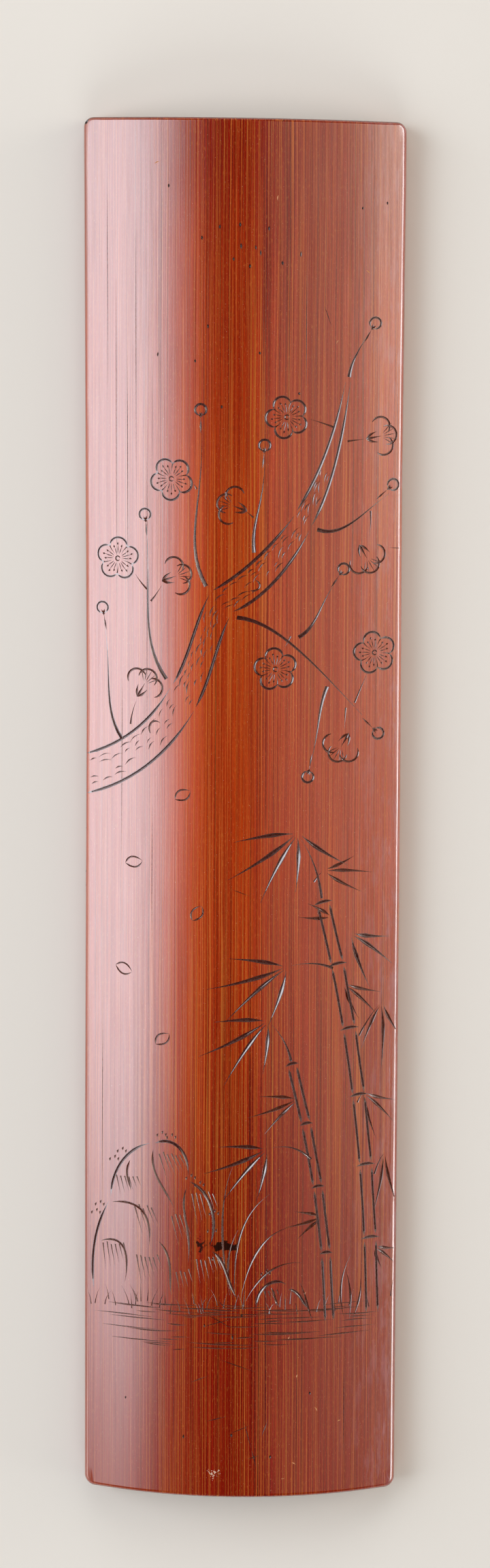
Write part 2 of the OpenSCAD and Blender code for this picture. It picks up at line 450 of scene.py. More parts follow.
# %% Places of the bamboo
stalks = [
    ([(27.2, -103), (26.6, -70), (23, -42), (16.5, -17)], 6, 2.4),
    ([(18.4, -104), (18, -84), (14.6, -66), (10.4, -50)], 4, 1.7),
]
shoots = [
    [(16.2, -16), (15.4, -9), (11.8, -3.6)], [(10.2, -49.2), (9.4, -45), (6.2, -41.6)],
    [(18.6, -30.4), (15, -28.6), (10.2, -29.6)], [(14.4, -69.6), (11, -66), (6.4, -67)],
]
sprays = [
    ((11.3, -2.6), [(-172, 13), (-146, 17), (-118, 16), (-92, 12), (-34, 12)]),
    ((9.4, -29.8), [(172, 12), (-164, 17), (-138, 17), (-108, 13)]),
    ((22, -23.4), [(-8, 8), (-38, 11), (-70, 12)]),
    ((5.6, -40.8), [(-178, 11), (-152, 16), (-124, 16), (-96, 11)]),
    ((5.6, -67.2), [(178, 10), (-158, 14), (-130, 14), (-102, 11)]),
]
edge_shoots = [
    [(24, -44.6), (26.4, -40), (28.2, -38.6)], [(27.4, -73.6), (28.6, -70), (29.4, -69.6)],
    [(23.8, -58.4), (24.2, -57.4), (24.8, -56.6)], [(14.6, -12.6), (15.4, -11.4), (16.2, -10.6)],
]
edge_sprays = [
    ((28.6, -38), [(-62, 8), (-90, 14), (-114, 10)]),
    ((29.4, -69.2), [(-76, 12), (-100, 13)]),
    ((18.6, -20), [(150, 6), (178, 7)]),
    ((24.9, -56.4), [(-18, 7), (-46, 9), (-74, 10)]),
    ((27.3, -88.6), [(-12, 5), (-42, 6), (-70, 5)]),
    ((11.8, -57), [(176, 8), (-160, 11), (-134, 10)]),
    ((17, -81.6), [(168, 6), (-166, 8), (-140, 7)]),
    ((20.6, -33.6), [(-16, 8), (-44, 10), (-66, 8)]),
    ((16.4, -10.4), [(24, 7), (-4, 10), (-30, 9)]),
]
print("leaves:", sum(len(leaves) for _, leaves in sprays + edge_sprays))

# %% [markdown]
# Between joints a stalk is two rails, and a short ridge crosses each joint. Every leaf is one deep stroke,
# broad in its first half and bowed a little to one side or the other.

# %% Bamboo
LEAF_W = 0.95
LEAF_BOW = 8
RAIL_W = 0.55
SHOOT_W = 0.6
EDGE_LEAF_W = 0.8
EDGE_SHOOT_W = 0.45


def leaves_of(sprays_of_leaves, width):
    for foot, leaves in sprays_of_leaves:
        for i, (angle, length) in enumerate(leaves):
            bow = LEAF_BOW if i % 2 else -LEAF_BOW
            leaf = [away(foot, 1, angle), away(foot, 0.4 * length, angle + bow), away(foot, length, angle)]
            yield stroke(leaf, width, LEAF)


def stalk_lines(spine, internodes, width):
    for i in range(internodes):
        low, high = (bezier(spine, (i + k) / internodes) for k in (0, 1))
        up = (high - low).normalized()
        side = Vector((-up.y, up.x)) * width
        gap = OUTLINE_W * up
        for s in (-0.5, 0.5):
            waist = low.lerp(high, 0.5) + 0.9 * s * side
            yield stroke([low + s * side + gap, waist, high + s * side - gap], RAIL_W, (0.06, 0.06))
        yield stroke([high - 0.8 * side, high + gap, high + 0.8 * side], OUTLINE_W, (0.3, 0.3), 8)


for spine, internodes, width in stalks:
    bold["bamboo"] += stalk_lines(spine, internodes, width)
bold["bamboo"] += [stroke(shoot, SHOOT_W, NAIL, 8) for shoot in shoots]
bold["bamboo"] += leaves_of(sprays, LEAF_W)
fine += [stroke(shoot, EDGE_SHOOT_W, NAIL, 6) for shoot in edge_shoots]
fine += leaves_of(edge_sprays, EDGE_LEAF_W)
print("bamboo strokes:", len(bold["bamboo"]))

# %% [markdown]
# The rock stands at the left with a small stone beside it. Bold outlines give the shapes, finer lines the
# hollows, and rows of slanting cuts the shaded faces: where a row starts, its slant, how many cuts it has and
# how long the first one is. Dots of moss sit on the outline.

# %% Rock
HOLLOW_W = 0.48
SHADE_W = 0.32
SHADE_GAP = 0.85
rock_edges = [
    [(-30.2, -98), (-31, -90), (-29.4, -84), (-27, -79.6)],
    [(-26.6, -78.4), (-26.4, -72), (-22.4, -67.6), (-18.6, -66.8)],
    [(-17.4, -66.6), (-13.6, -64.8), (-10.4, -68), (-10.6, -73)],
    [(-10.2, -74.2), (-5.4, -76.4), (-4.4, -83), (-6.2, -87.4)],
    [(-5.6, -88.6), (-2.6, -90.4), (-2.8, -95), (-0.4, -98.4)],
    [(3.4, -100), (3.4, -95.6), (7.4, -93.6), (9.4, -95.4)],
    [(10, -96.4), (12.4, -97), (12.6, -99), (14, -100.6)],
]
rock_hollows = [
    [(-26.2, -79.6), (-20, -78.4), (-18, -82), (-18.6, -88)],
    [(-17.8, -68), (-18.6, -73), (-15.6, -75.4), (-13.6, -79.6)],
    [(-28.6, -88), (-23.6, -86), (-22.6, -90), (-23.6, -96)],
    [(-11, -75.6), (-12.6, -81), (-9.6, -84), (-10.6, -91)],
    [(-22.6, -70.6), (-24, -73.6), (-22.6, -75), (-22.4, -76.8)],
    [(-16.6, -87), (-13.4, -90), (-14.6, -94), (-14, -98)],
    [(6.4, -96), (7.4, -97.6), (7, -98.6), (8, -99.8)],
]
rock_shades = [
    (-25.4, -73.6, -78, 6, 4), (-16.6, -68.6, -72, 6, 6), (-9.8, -76.2, -80, 6, 6.4), (-21.6, -80, -74, 5, 6),
    (-28.2, -88.4, -84, 6, 5.6), (-14, -81.4, -76, 4, 6), (-21.2, -90, -80, 6, 6), (-8.8, -90, -82, 6, 5),
    (5, -96.4, -74, 4, 2.4), (-13, -92.8, -80, 4, 4),
]
moss = [
    (-29, -82.6), (-28.2, -80.8), (-25.2, -71), (-23.6, -69.2), (-15.4, -65.2), (-13.4, -65.6),
    (-9.4, -73.8), (-7.6, -75.2), (-4.6, -81), (-5, -84.6), (-4, -90.4), (6, -93.4),
]

bold["rock"] += [stroke(edge, OUTLINE_W) for edge in rock_edges]
fine += [stroke(hollow, HOLLOW_W) for hollow in rock_hollows]
for x, y, angle, count, length in rock_shades:
    for i in range(count):
        start = Vector((x + SHADE_GAP * i, y + random.uniform(-0.5, 0.5)))
        end = away(start, length * (1 - 0.1 * i), angle + 2 * i)
        fine.append(stroke([start, end], SHADE_W, NAIL, 4))
for place in moss:
    for k in range(3):
        fine.append(dab(away(place, 0.5 + 0.5 * k, 60 + 55 * k), 70, 0.8, 0.5))
print("rock strokes:", len(bold["rock"]))

# %% [markdown]
# Grass grows at the foot of the rock and the stalks. A few long blades are listed one by one, and many short
# tufts and level ground lines are placed at random, because nobody plans where each of them goes.

# %% Grass and ground
blades = [
    [(-1, -98), (-1.6, -86), (1, -80), (6, -76.6)],
    [(0.2, -98.4), (1.6, -90), (5, -84), (11, -83.4)],
    [(-2, -97.6), (-4, -88), (-4.4, -78), (-1.6, -71)],
    [(1.2, -98.8), (4, -93), (8, -90.4), (12.6, -91)],
    [(-1.6, -98), (-3, -92), (-2.6, -88), (-0.4, -84)],
    [(21.4, -103), (20, -98), (20.6, -94), (22.6, -90)],
    [(22.4, -103.6), (23, -99), (22.6, -96), (21.6, -93)],
    [(23.2, -103.4), (24.4, -100), (25, -98), (24.6, -95)],
    [(15, -103.4), (13.6, -100), (13.6, -97.6), (12, -94.6)],
]
BLADE_W = 0.55
GROUND_LINES = 60
GROUND_WIDTHS = (0.2, 0.24, 0.3)
TUFTS = 46
TUFT_W = 0.26

fine += [stroke(blade, BLADE_W, LEAF) for blade in blades]
for i in range(GROUND_LINES):
    x = random.uniform(-31, 22)
    y = -99.6 - 9 * random.random() ** 1.3
    end = min(x + random.uniform(4, 15), 31.4)
    middle = ((x + end) / 2, y + random.uniform(-0.4, 0.4))
    line = [(x, y), middle, (end, y + random.uniform(-0.3, 0.3))]
    fine.append(stroke(line, random.choice(GROUND_WIDTHS), HAIR, 8))
for i in range(TUFTS):
    x = random.uniform(-31, 31)
    y = -99.5 - 2.4 * random.random()
    reach = random.uniform(-1.6, 1.6)
    tip = (x + reach, y + random.uniform(2.2, 4))
    fine.append(stroke([(x, y), (x + 0.2 * reach, y + 1.8), tip], TUFT_W, NAIL, 5))
print("fine strokes:", len(fine))

# %% [markdown]
# Years on a desk add marks of their own: hairline cracks along the grain, small pits where the skin has
# lifted between fibres, a few stray scratches across them and fresh chips where pale fibre shows. They are
# drawn the same way, as very narrow strokes: a place and a length, two ends and a width, or a place and a
# direction.

# %% Wear
CRACK_W = 0.11
CHIP_W = 0.26
cracks = [
    (-27.4, 128, 44), (-25.6, 112, 70), (-23.4, 96, 52), (-21.6, 121, 60), (-19.4, 84, 78), (-24.6, 30, 40),
    (-18.2, 4, 36), (-28.4, -40, 44), (12.4, 112, 30), (21.4, -112, 22),
]
pits = [
    (-0.9, 119.5, 1), (-0.7, 115.4, 1.2), (-4.9, 119, 0.9), (3.2, 114.1, 1.2), (2.2, 115, 0.9),
    (11.2, 114, 1.3), (7.5, 112, 0.9), (1.1, 111.3, 0.9), (-2.2, 112.6, 0.8), (4.8, 118.8, 1),
    (-7.2, 99.4, 0.9), (-8.5, 116.8, 0.9), (28.3, 124.2, 0.7), (23.4, 123, 0.6), (-15.1, 126.9, 0.8),
    (-17.2, 93.8, 1), (-9.8, 92.4, 0.7), (-4.4, 83.4, 0.8), (3.1, 94, 0.6), (14.4, -118, 0.7),
    (-11.4, -127, 0.9), (6.4, -131, 0.8), (11, 86, 0.6), (-23.4, -120, 0.6), (-1.5, -105.8, 1),
    (-7.2, -103.6, 0.8), (0.4, -101.4, 0.7), (-1.6, -126.4, 0.8),
]
scratches = [
    ((-14, -109.4), (-10.6, -109), 0.16), ((-4, -111), (3.4, -113.6), 0.16),
    ((-10, -116), (-6.2, -114.4), 0.14), ((16, 103), (17.4, 99), 0.14), ((-2, -14), (1.8, -15.4), 0.14),
    ((-6.6, -124), (-2.4, -122.8), 0.16), ((29.4, 54.7), (33, 54.5), 0.13),
    ((-6.8, -101.6), (-1.2, -104.6), 0.16), ((-8, -104.4), (0, -102), 0.14), ((1, -124), (2.6, -130), 0.16),
    ((2.6, -130), (3.6, -133.6), 0.2), ((1.8, -131.8), (4.2, -131), 0.16),
    ((-1.7, -126.4), (2.6, -124.6), 0.14), ((-4.4, -98.8), (-2.4, -100.6), 0.16),
    ((4.6, -127), (6, -123.4), 0.14),
]
chips = [
    (10.1, -106.6, 60), (11.8, -114.6, 75), (11.2, -133, -30), (15.7, -121.8, -60), (20.5, -124.6, 20),
    (9, -136.1, 0), (13.4, -97.6, 70), (18.6, 96, 60), (24.6, 110, -40), (-17.4, 131, 20), (6.6, 124.4, 80),
]
wear = []
for x, y, length in cracks:
    sway = random.uniform(-0.12, 0.12)
    wear.append(stroke([(x, y), (x + sway, y - length / 2), (x, y - length)], CRACK_W, HAIR, 20))
for x, y, length in pits:
    end = (x + random.uniform(-0.1, 0.1), y - length)
    wear.append(stroke([(x, y), end], random.uniform(0.3, 0.48), (0.35, 0.35), 6))
for start, end, width in scratches:
    wear.append(stroke([start, end], width, HAIR, 6))
bared = [dab((x, y), angle, random.uniform(0.6, 1.2), CHIP_W) for x, y, angle in chips]
print("marks of wear:", len(wear), "chips:", len(bared))

# %% [markdown]
# ## The burin
# A burin leaves a V-shaped furrow. The furrows could be bump in a material, but then they would vanish at the
# edges and in the exported mesh, so they are cut for real. A curve object will sweep a V profile along each
# stroke. The profile is a closed curve of its own: two walls, a little bowed as a hand turns the tool, and a
# lid that stands clear of the face.

# %% The V profile
WALL = [(0.7, -0.36), (0.35, -0.62), (0, -0.8)]
WALL_SLOPE = 1.2


def poly_line(curve, points):
    spline = curve.splines.new("POLY")
    spline.points.add(len(points) - 1)
    for point, (x, y) in zip(spline.points, points):
        point.co = (x, y, 0, 1)
    return spline


def v_profile(name, top):
    """A closed V, 1 mm to each side of its middle at the face and as high above it as top."""
    right = [(1 + top / WALL_SLOPE, top), *WALL]
    corners = right + [(-x, y) for x, y in reversed(right[:-1])]
    curve = bpy.data.curves.new(name, "CURVE")
    poly_line(curve, [(x * MM, y * MM) for x, y in corners]).use_cyclic_u = True
    return new_object(name, curve)


cutting_v = v_profile("cutting_v", 0.25)
print("corners of the V:", len(cutting_v.data.splines[0].points))

# %% [markdown]
# Two strokes of one tool must not cross, because the Manifold solver takes clean solids only. So the strokes
# are dealt into passes: each one goes into the first pass in which it stays clear of all the others.

# %% Passes
PASS_GAP = 0.25


def longest_step(*paths):
    return max(np.hypot(*np.diff(path[:, :2], axis=0).T).max() for path in paths)


def in_passes(strokes):
    """Sorts strokes into groups in which no two come near each other."""
    groups = []
    for path in (np.array(s) for s in strokes):
        for group in groups:
            apart = (np.hypot(path[:, None, 0] - q[:, 0], path[:, None, 1] - q[:, 1])
                     - path[:, None, 2] - q[:, 2] - PASS_GAP - longest_step(path, q) / 2 for q in group)
            if all(gap.min() > 0 for gap in apart):
                group.append(path)
                break
        else:
            groups.append([path])
    return groups


drawn = [path for group in bold.values() for path in group] + fine
passes = {slot: in_passes(strokes) for slot, strokes in ((CUT, drawn), (WORN, wear), (BARED, bared))}
print("passes for drawing, wear and chips:", [len(groups) for groups in passes.values()])

# %% [markdown]
# The curves are drawn flat, with x as the distance along the arch, and the radius of each curve point is half
# the stroke's width there. Made into a mesh, they are wrapped round the culm like paper. The faces of a cut
# take over the material of the tool that cut it, so the finishes are named here and get their nodes later.

# %% Burins for every pass
finishes = [bpy.data.materials.new(name) for name in (
    "polished_bamboo_skin", "scraped_bamboo_inner_wall", "sawn_bamboo_end_grain", "inked_burin_cut",
    "worn_bamboo_fibre", "freshly_bared_bamboo_fibre")]


def swept(name, strokes, profile):
    """One mesh of V-shaped bars along the strokes, wrapped onto the culm."""
    curve = bpy.data.curves.new(name, "CURVE")
    curve.dimensions = "3D"
    curve.twist_mode = "Z_UP"
    curve.bevel_mode = "OBJECT"
    curve.bevel_object = profile
    curve.use_fill_caps = True
    for path in strokes:
        spline = poly_line(curve, [(culm_r * math.asin(x * MM / culm_r), y * MM) for x, y, _ in path])
        for point, (_, _, width) in zip(spline.points, path):
            point.radius = width / 2
    make_active(new_object(name, curve))
    bpy.ops.object.convert(target="MESH")
    go_to("EDIT")
    bpy.ops.mesh.select_all(action="SELECT")
    bpy.ops.mesh.remove_doubles(threshold=1e-7)
    bpy.ops.mesh.normals_make_consistent(inside=False)
    go_to("OBJECT")
    bars = bpy.context.object
    points = vertex_array(bars.data)
    angle, radius = points[:, 0] / culm_r, culm_r + points[:, 2]
    points[:, 0] = radius * np.sin(angle)
    points[:, 2] = radius * np.cos(angle) + culm_z
    store_vertices(bars.data, points)
    return bars


burins = []
for slot, groups in passes.items():
    for group in groups:
        burin = swept("burin", group, cutting_v)
        burin.data.materials.append(finishes[slot])
        burins.append(burin)
print("burins:", len(burins), "with", sum(len(burin.data.polygons) for burin in burins), "faces")

# %% [markdown]
# A Boolean modifier takes the burins out of the slip, one after the other. The Manifold solver is quick and
# leaves a closed mesh. A copy of the blank is kept, to trim the ink by.

# %% Cutting the slip


def combine(piece, tool, operation):
    """Applies one Boolean modifier and throws the tool away."""
    make_active(piece)
    boolean = piece.modifiers.new(operation.lower(), "BOOLEAN")
    boolean.operation = operation
    boolean.solver = "MANIFOLD"
    boolean.object = tool
    boolean.material_mode = "TRANSFER"
    bpy.ops.object.modifier_apply(modifier=boolean.name)
    bpy.data.objects.remove(tool, do_unlink=True)


for finish in finishes:
    slip.data.materials.append(finish)
blank = slip.data.copy()
for burin in burins:
    combine(slip, burin, "DIFFERENCE")
print("slip faces after the cuts:", len(slip.data.polygons))

# %% [markdown]
# Knocks have broken small bits out of the edges. A low-polygon ball, squashed and half sunk in the edge,
# leaves the right kind of ragged hollow.

# %% Nicks in the edges
nicks = [
    ((-31.9, 139.6, 5.4), 0.95), ((-32.3, 138.8, 5), 0.6), ((-31.1, 140, 5.8), 0.55), ((-32.3, -2.8, 5), 0.3),
    ((-32.3, -11.8, 5), 0.35), ((-32.3, -14.6, 4.9), 0.3), ((32.4, -83.6, 5), 0.35), ((32.4, 54.4, 5), 0.3),
    ((-9.8, 140.2, 14.2), 0.3), ((-7.6, 140.2, 14.4), 0.25), ((2.8, 140.2, 14.8), 0.3),
    ((-11.6, -140.2, 13.7), 0.28), ((0.4, -140.2, 14.8), 0.3), ((11.6, -140.2, 13.7), 0.25),
]
for place, size in nicks:
    deselect_all()
    bpy.ops.mesh.primitive_ico_sphere_add(subdivisions=2, radius=size * MM, location=Vector(place) * MM,
                                          scale=(0.9, 1.3, 0.8), rotation=(size, 2 * size, 5 * size))
    ball = bpy.context.object
    ball.data.materials.append(finishes[WORN])
    combine(slip, ball, "DIFFERENCE")
print("slip faces after nicks:", len(slip.data.polygons))

# %% [markdown]
# ## Ink in the cuts
# Old ink and wax lie in the bold cuts as a dark lining. It is made as it would settle: each cut is first
# filled to just under the face, and a slightly narrower burin then hollows the filling, so that a thin
# V-shaped film is left on both walls and the narrow ends of a stroke stay full. Ink that would hang over an
# edge of the slip is trimmed off with the copy of the uncut blank.

# %% Ink linings
INK_FILM = 0.06
INK_BELOW_FACE = -0.05
ink_v = v_profile("ink_v", INK_BELOW_FACE)
inks = {}
for motif, strokes in bold.items():
    groups = in_passes(strokes)
    ink = swept(f"{motif}_ink_lining", groups[0], ink_v)
    for group in groups[1:]:
        combine(ink, swept("more_ink", group, ink_v), "UNION")
    narrower = []
    for path in strokes:
        inner = [(x, y, width - 2 * INK_FILM) for x, y, width in path if width > 3 * INK_FILM]
        if len(inner) > 2:
            narrower.append(inner)
    for group in in_passes(narrower):
        combine(ink, swept("narrow_burin", group, cutting_v), "DIFFERENCE")
    combine(ink, bpy.data.objects.new("blank", blank), "INTERSECT")
    ink.data.materials.clear()
    inks[motif] = ink
    print(ink.name, len(ink.data.polygons), "faces")
for profile in (cutting_v, ink_v):
    bpy.data.objects.remove(profile, do_unlink=True)

# %% [markdown]
# ## The hand of the maker
# A slip that was split and scraped by hand is never quite true. The head is sawn a little askew, the long
# edges sway by a fraction of a millimetre, and the face is very slightly wavy, which makes the reflections
# live. The same shifts move slip and ink alike, so the ink stays in its cuts.

# %% Unevenness
HEAD_SKEW = 0.0125
WAVE = 0.03
left_sway = [(-140, 0), (-60, 0), (24, 0.28), (80, 0), (140, -0.3)]
right_sway = [(-140, 0), (20, 0), (66, -0.14), (128, 0.14)]


def ease_in(value, low, high):
    t = np.clip((value - low) / (high - low), 0, 1)
    return t * t * (3 - 2 * t)


pieces = [slip, *inks.values()]
for piece in pieces:
    points = vertex_array(piece.data)
    x, y, z = points.T / MM
    left = np.interp(y, *zip(*left_sway)) * ease_in(x, -10, -32)
    right = np.interp(y, *zip(*right_sway)) * ease_in(x, 10, 32)
    waves = np.array([noise.noise((a / 11, b / 55, 0)) for a, b in zip(x, y)])
    points[:, 0] += (left + right) * MM
    points[:, 1] -= HEAD_SKEW * x * ease_in(y, 80, 140) * MM
    points[:, 2] += WAVE * waves * ease_in(z, 1, edge_h / MM) * MM
    store_vertices(piece.data, points)
    print(f"{piece.name}: sideways by up to {np.abs(left + right).max():.2f} mm")

# %% [markdown]
# ## Finishes
# Each finish is a node tree. One small function adds a node, sets its properties and fills its inputs: a
# plain value is set on the socket, and the output of another node is linked to it. Colours are written as
# they look on a screen, in hex, and one function makes them linear.

# %% Node helper and colours


def add(tree, kind, inputs, **settings):
    """Adds one node and gives back its output, or all its outputs when it has several."""
    node = tree.nodes.new("ShaderNode" + kind)
    for name, value in settings.items():
        setattr(node, name, value)
    sockets = [socket for socket in node.inputs if socket.enabled]
    for key, value in inputs.items():
        socket = sockets[key] if isinstance(key, int) else next(s for s in sockets if s.name == key)
        if isinstance(value, bpy.types.NodeSocket):
            tree.links.new(value, socket)
        else:
            socket.default_value = value
    outputs = [socket for socket in node.outputs if socket.enabled]
    return outputs[0] if len(outputs) == 1 else node.outputs


def linear(hex_colour):
    parts = [int(hex_colour[i:i + 2], 16) / 255 for i in (0, 2, 4)]
    return [c / 12.92 if c <= 0.04045 else ((c + 0.055) / 1.055) ** 2.4 for c in parts] + [1]


def bare_tree(owner):
    owner.use_nodes = True
    owner.node_tree.nodes.clear()
    return owner.node_tree


print(f"a mid grey is {linear('808080')[0]:.3f} in linear light")

# %% [markdown]
# Bamboo is a bundle of long fibres that run along the culm. Its patterns are laid out in the culm's own
# space, in millimetres: the distance round the culm, the distance along it and the distance from its middle.
# A slow noise pushes the fibres a little to either side, because no fibre is quite straight.

# %% Culm space
FIBRE_WANDER = 0.3


def culm_space(tree):
    x, y, z = add(tree, "SeparateXYZ", {0: add(tree, "TexCoord", {})["Object"]})
    up = add(tree, "Math", {0: z, 1: culm_z}, operation="SUBTRACT")
    angle = add(tree, "Math", {0: x, 1: up}, operation="ARCTAN2")
    round_mm = add(tree, "Math", {0: angle, 1: culm_r / MM}, operation="MULTIPLY")
    along_mm = add(tree, "Math", {0: y, 1: 1 / MM}, operation="MULTIPLY")
    from_middle = add(tree, "CombineXYZ", {0: x, 1: up})
    reach = add(tree, "VectorMath", {0: from_middle}, operation="LENGTH")
    reach_mm = add(tree, "Math", {0: reach, 1: 1 / MM}, operation="MULTIPLY")
    straight = add(tree, "CombineXYZ", {0: round_mm, 1: along_mm, 2: reach_mm})
    slow = add(tree, "Mapping", {"Vector": straight, "Scale": (0.1, 0.03, 0.1)})
    push = add(tree, "TexNoise", {"Vector": slow, "Scale": 1, "Detail": 1})["Fac"]
    bent_mm = add(tree, "Math", {0: push, 1: FIBRE_WANDER, 2: round_mm}, operation="MULTIPLY_ADD")
    return add(tree, "CombineXYZ", {0: bent_mm, 1: along_mm, 2: reach_mm})


print(f"the face measures {2 * culm_r / MM * math.asin(half_w / culm_r):.1f} mm round the culm")

# %% [markdown]
# A noise that is squeezed across the fibres and drawn out along them gives streaks, and a smooth step turns
# them into a mask for one tint. Tints are laid over each other in layers, as glazes are: the size of the
# streak in millimetres, the noise values between which it sets in, its strength and its tint. Each layer is
# shifted in the noise, so that no two have the same streaks.

# %% Streaks and layers
OCTAVES = 3
LAYER_SHIFT = 17


def streaks(tree, space, size, step, strength, shift):
    scale = [1 / s for s in size]
    placed = add(tree, "Mapping", {"Vector": space, "Location": (shift, shift, shift), "Scale": scale})
    cloud = add(tree, "TexNoise", {"Vector": placed, "Scale": 1, "Detail": OCTAVES, "Roughness": 0.65})["Fac"]
    limits = {"From Min": step[0], "From Max": step[1], "To Max": strength}
    return add(tree, "MapRange", {"Value": cloud, **limits}, interpolation_type="SMOOTHSTEP")


def layered(tree, space, colour, layers, first=0):
    for i, (size, step, strength, tint) in enumerate(layers, first):
        mask = streaks(tree, space, size, step, strength, LAYER_SHIFT * i)
        colour = add(tree, "Mix", {"Factor": mask, "A": colour, "B": linear(tint)}, data_type="RGBA")
    return colour


print("octaves of noise in a streak:", OCTAVES)

# %% [markdown]
# The outside of the culm was scraped, polished and then handled until it is a deep orange red. Long fibres
# give the eye its grain, dark threads are the furrows between them, and short flecks break up the long lines.
# Painted shade is multiplied over those: the colour is brightest a little above the middle and darker towards
# both ends, as the light falls off. A paler band left of the crown is a painted glow of the light from the
# left.
# Golden lines and flecks are bundles that the polish has laid bare, so they come last.

# %% Tints of the skin
DARK_FIBRE = ((0.32, 150, 0.4), (0.4, 0.6))
# painted light and shade along the length: brightest at this y, darker towards both ends over this span
LIT_MIDDLE_Y = 30
END_SHADE_SPAN = (40, 140)
# painted glow: a paler band left of the crown, where the light from the left brightens the flank
GLOW_X = -12
GLOW_HALF = 7
wood_layers = [
    ((3, 200, 9), (0.4, 0.64), 0.2, "781803"),
    (*DARK_FIBRE, 0.45, "6C1203"),
    ((0.3, 150, 0.4), (0.57, 0.62), 0.64, "3C0A02"),
    ((0.3, 14, 0.4), (0.45, 0.65), 0.2, "6C1203"),
    ((0.2, 1.2, 0.4), (0.45, 0.65), 0.2, "4C1003"),
]
gold_layers = [
    ((0.28, 120, 0.4), (0.54, 0.62), 0.31, "E8903C"),
    ((0.2, 90, 0.4), (0.54, 0.64), 0.22, "DC8434"),
    ((0.2, 1.2, 0.4), (0.55, 0.7), 0.15, "E8983C"),
    ((0.2, 0.3, 0.2), (0.68, 0.73), 0.5, "F0C8A0"),
]


def distance_from(tree, value, place):
    offset = add(tree, "Math", {0: value, 1: place}, operation="SUBTRACT")
    return add(tree, "Math", {0: offset}, operation="ABSOLUTE")


def fibre_tints(tree, space):
    round_mm, along_mm, _ = add(tree, "SeparateXYZ", {0: space})
    drift = streaks(tree, space, (14, 60, 14), (0.3, 0.7), 30, 3)
    # painted shade: the colour darkens with distance from the lit middle, towards both ends
    from_lit_middle = add(tree, "Math", {0: distance_from(tree, along_mm, LIT_MIDDLE_Y), 1: drift})
    end_shade_mask = add(tree, "MapRange", {"Value": from_lit_middle, "From Min": END_SHADE_SPAN[0], "From Max": END_SHADE_SPAN[1]},
                interpolation_type="SMOOTHSTEP")
    wood = layered(tree, space, linear("B4390B"), wood_layers)
    # painted shade multiplied over the wood towards the ends
    end_shaded_wood = add(tree, "Mix", {"Factor": end_shade_mask, "A": wood, "B": linear("CB8080")},
                 data_type="RGBA", blend_type="MULTIPLY")
    # painted glow: the paler band is strongest in the lit middle and fades towards the ends
    glow_strength = add(tree, "MapRange", {"Value": end_shade_mask, "To Min": 0.34, "To Max": 0.06})
    limits = {"From Min": GLOW_HALF, "From Max": 0, "To Max": glow_strength}
    painted_glow = add(tree, "MapRange", {"Value": distance_from(tree, round_mm, GLOW_X), **limits},
               interpolation_type="SMOOTHSTEP")
    # the paler band mixed in here is a painted glow of the light from the left
    rubbed = add(tree, "Mix", {"Factor": painted_glow, "A": end_shaded_wood, "B": linear("E86428")}, data_type="RGBA")
    return layered(tree, space, rubbed, gold_layers, len(wood_layers))


print("layers of tint on the skin:", len(wood_layers) + len(gold_layers))

# %% [markdown]
# Use has left its own marks over the tints, each a mask and a tint. Hands have evened and dulled the colour
# of both flanks, each given by where it starts and where it is full. Pale grey streaks towards the right edge
# are scuffs in the polish together with painted sheen. A drop of ink has dried among the strokes, and a few
# pale specks stick near the foot. These are ragged blots, given by centre, radii, the grain and spread of the
# rim, and strength.

# %% Marks of handling
RIM = 0.25
flanks = [(-8, -24, 0.5, "8C3818"), (6, 14, 0.25, "8C3414")]
blots = [
    ((-3, -87.4), (4.8, 1.6), 1.5, 2.6, 0.95, "140603"),
    ((-7.8, -87.2), (1.4, 2), 1, 3, 0.9, "140603"),
    ((-5, -135), (0.9, 0.75), 0.35, 7, 0.9, "D8B8A0"),
]


def blot(tree, space, centre, radii, grain, spread, strength):
    scale = Vector((1 / radii[0], 1 / radii[1], 0))
    shift = -Vector((*centre, 0)) * scale
    placed = add(tree, "Mapping", {"Vector": space, "Location": shift, "Scale": scale})
    distance = add(tree, "VectorMath", {0: placed}, operation="LENGTH")
    cloud = add(tree, "TexNoise", {"Vector": space, "Scale": 1 / grain, "Detail": OCTAVES})["Fac"]
    ragged = add(tree, "Math", {0: cloud, 1: spread, 2: distance}, operation="MULTIPLY_ADD")
    rim = 0.5 * spread + 0.6
    limits = {"From Min": rim, "From Max": rim - RIM, "To Max": strength}
    return add(tree, "MapRange", {"Value": ragged, **limits}, interpolation_type="SMOOTHSTEP")


def handled(tree, space, colour):
    round_mm = add(tree, "SeparateXYZ", {0: space})[0]
    marks = []
    for start, full, strength, tint in flanks:
        limits = {"From Min": start, "From Max": full, "To Max": strength}
        marks.append((add(tree, "MapRange", {"Value": round_mm, **limits}), tint))
    edge = add(tree, "MapRange", {"Value": round_mm, "From Min": 20, "From Max": 32})
    # pale grey streaks towards the right edge: scuffs in the polish together with painted sheen
    scuffs_and_sheen = streaks(tree, space, (1.5, 7, 1.5), (0.46, 0.68), 0.27, 41)
    marks.append((add(tree, "Math", {0: scuffs_and_sheen, 1: edge}, operation="MULTIPLY"), "A0747C"))
    marks += [(blot(tree, space, *shape), tint) for *shape, tint in blots]
    for mask, tint in marks:
        colour = add(tree, "Mix", {"Factor": mask, "A": colour, "B": linear(tint)}, data_type="RGBA")
    return colour


print("flanks and blots:", len(flanks) + len(blots))

# %% [markdown]
# Wax makes a second, smoother gloss over the wood: the coat. It is rubbed thin in short stretches and along
# the dark fibres, so the sheen breaks into fine lines. The relief of the fibres is far too small to model,
# and bump is enough for it.

# %% Polished skin
FULL_WAX = 1.08


def dress(material, surface, *settings):
    """Gives a material the inputs of its shader that surface works out."""
    tree = bare_tree(material)
    shader = add(tree, "BsdfPrincipled", surface(tree, culm_space(tree), *settings))
    add(tree, "OutputMaterial", {"Surface": shader})
    print(f"{material.name}: {len(tree.nodes)} nodes")


